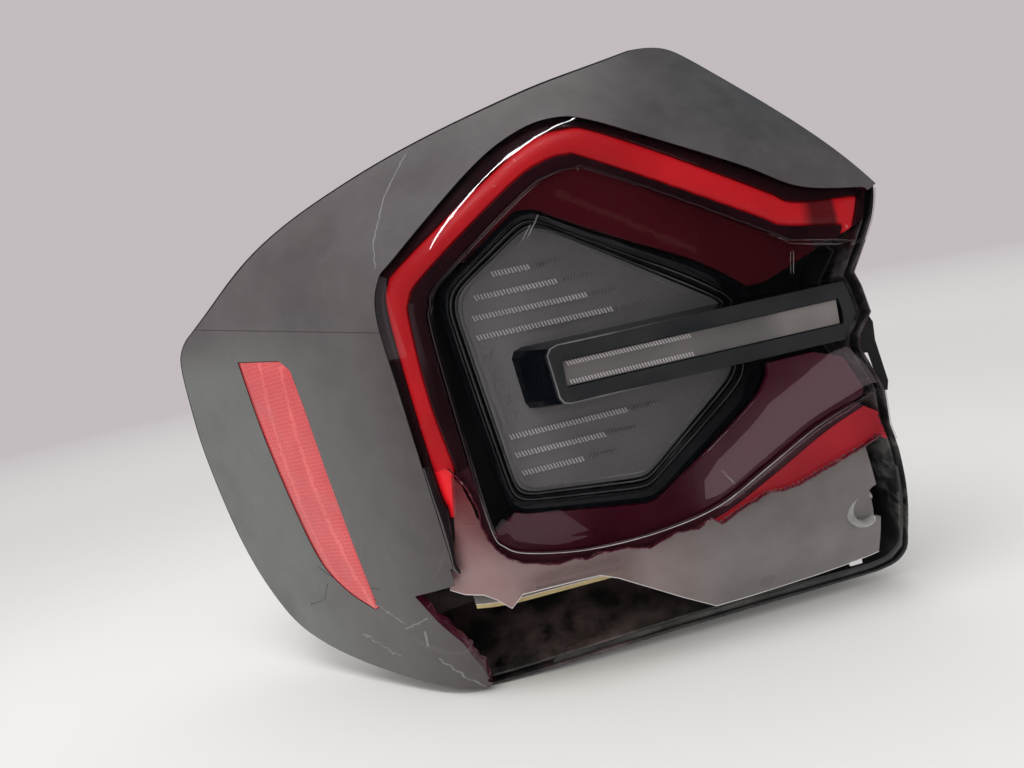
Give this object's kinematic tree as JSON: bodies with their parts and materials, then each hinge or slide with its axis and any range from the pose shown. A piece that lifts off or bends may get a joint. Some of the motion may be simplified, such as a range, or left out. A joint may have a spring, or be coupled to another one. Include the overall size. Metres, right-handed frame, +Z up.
{
  "type": "tail light cluster",
  "caption": "Broken left-hand tail light cluster with a smoked red lens, a C-shaped red light band, a finned centre optic and a black housing that bolts on by studs.",
  "frame": {"origin": "midway between the two fixing studs, on the plane where the gasket meets the body of the car", "axes": "X runs inboard, from the wrap-round side to the car's centre; +Y points to the front of the car, along the studs; Z is up"},
  "size_m": [0.4112, 0.1838, 0.342],
  "materials": {
    "housing_black": "moulded black plastic, satin with glossy rim",
    "lens_crimson": "dark smoked red, glossy",
    "skin_brown": "hazy matt, purple brown",
    "skin_grey": "hazy matt, green grey",
    "reflector_red": "hazed red prism reflector",
    "band_red": "bright red diffuser",
    "frame_maroon": "dark maroon, glossy",
    "stop_red": "dark red, glossy",
    "gloss_black": "gloss black",
    "optic_grey": "grey prismatic optic",
    "strip_grey": "clear grey strip",
    "inner_black": "black, satin",
    "frosted": "milky, frosted",
    "screw_steel": "zinc plated",
    "amber": "amber, clear edge",
    "bowl_pale": "pale metallised",
    "board_green": "circuit board",
    "led_cream": "cream emitter",
    "sink_aluminium": "extruded, plain",
    "unit_cast": "cast, matt",
    "socket_black": "black",
    "pin_brass": "tinned",
    "vent_rubber": "soft black",
    "gasket_foam": "closed-cell foam, black",
    "stud_steel": "zinc plated",
    "pin_white": "natural white",
    "glue_grey": "hardened glue, grey"
  },
  "bodies": {
    "root": {"rear_housing": "housing_black", "outer_lens": "lens_crimson", "upper_skin": "skin_brown", "lower_skin": "skin_grey", "side_reflector": "reflector_red", "light_band": "band_red", "lower_band": "band_red", "band_frame": "frame_maroon", "upper_stop_lens": "stop_red", "lower_stop_lens": "stop_red", "inner_bezel": "gloss_black", "centre_optic": "optic_grey", "fin_body": "gloss_black", "fin_strip": "strip_grey", "lamp_carrier": "inner_black", "lower_diffuser": "frosted", "diffuser_screw": "screw_steel", "amber_light_bar": "amber", "turn_reflector": "bowl_pale", "turn_led_board": "board_green", "tail_led_board": "board_green", "stop_led_board": "board_green", "board_leds": "led_cream", "heat_sink": "sink_aluminium", "carrier_screws": "screw_steel", "control_module": "unit_cast", "module_screws": "screw_steel", "connector_socket": "socket_black", "connector_pins": "pin_brass", "vent_cap": "vent_rubber", "body_gasket": "gasket_foam", "fixing_studs": "stud_steel", "locating_pin": "pin_white", "side_bracket": "inner_black", "glue_bead": "glue_grey"}
  },
  "joints": []
}
